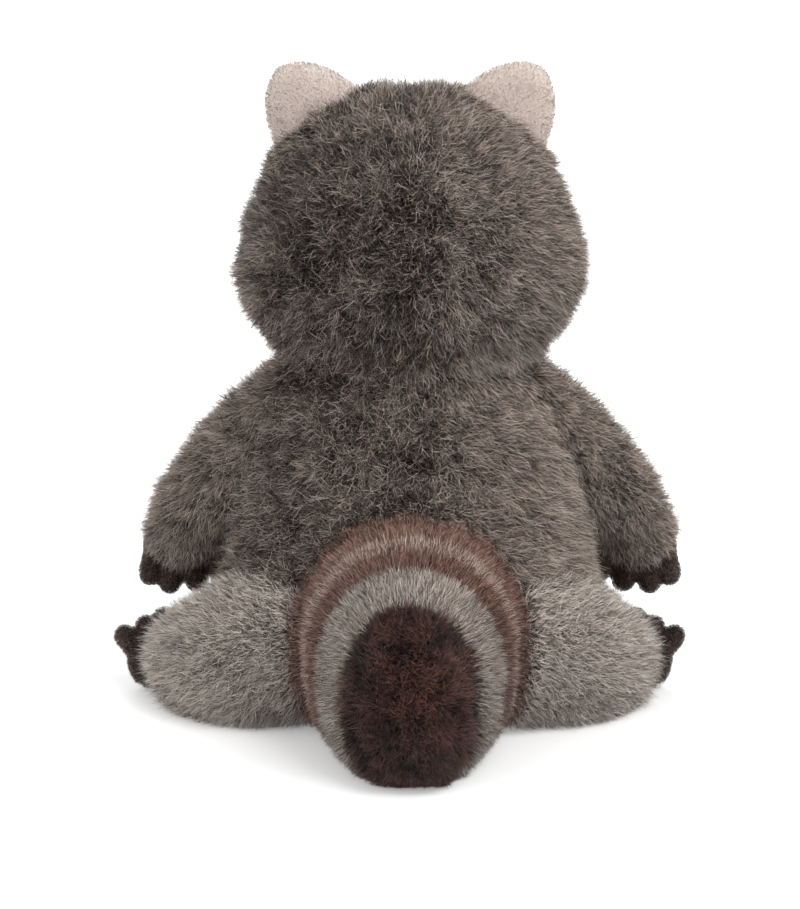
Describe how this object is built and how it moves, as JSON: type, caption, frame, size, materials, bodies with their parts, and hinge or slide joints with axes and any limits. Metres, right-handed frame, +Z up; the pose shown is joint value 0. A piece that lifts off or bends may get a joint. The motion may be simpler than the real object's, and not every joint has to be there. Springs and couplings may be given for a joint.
{
  "type": "plush raccoon",
  "caption": "Seated stuffed raccoon toy in long grey plush, with rounded cream ears, dark paws and a thick banded tail resting on the floor behind it.",
  "frame": {"origin": "on the floor under the torso, at the seat's flat face", "axes": "+Z up, the animal faces -Y and its tail points to +Y, its left side is +X"},
  "size_m": [0.2251, 0.2197, 0.2492],
  "materials": {
    "grey_plush": "long salt-and-pepper pile, dark at the roots and taupe at the tips",
    "pale_grey_plush": "long pale grey pile",
    "brown_plush": "long reddish brown pile",
    "dark_brown_plush": "long tousled dark brown pile",
    "paw_plush": "short dark brown pile with a soft sheen",
    "cream_plush": "short dense pinkish cream pile",
    "nose_plush": "very short near-black flock",
    "eye_plastic": "polished dark domes",
    "washer_plastic": "plain moulded"
  },
  "bodies": {
    "root": {"head": "grey_plush", "torso": "grey_plush", "arm_left": "grey_plush", "arm_right": "grey_plush", "leg_left": "grey_plush", "leg_right": "grey_plush", "hand_left": "paw_plush", "hand_right": "paw_plush", "foot_left": "paw_plush", "foot_right": "paw_plush", "ear_left": "cream_plush", "ear_right": "cream_plush", "ear_lining_left": "cream_plush", "ear_lining_right": "cream_plush", "muzzle": "cream_plush", "nose": "nose_plush", "mask_left": "paw_plush", "mask_right": "paw_plush", "eye_left": "eye_plastic", "eye_right": "eye_plastic", "eye_washer_left": "washer_plastic", "eye_washer_right": "washer_plastic", "tail_brown_root": "brown_plush", "tail_pale_ring": "pale_grey_plush", "tail_brown_ring": "brown_plush", "tail_grey_ring": "pale_grey_plush", "tail_tip": "dark_brown_plush"}
  },
  "joints": []
}
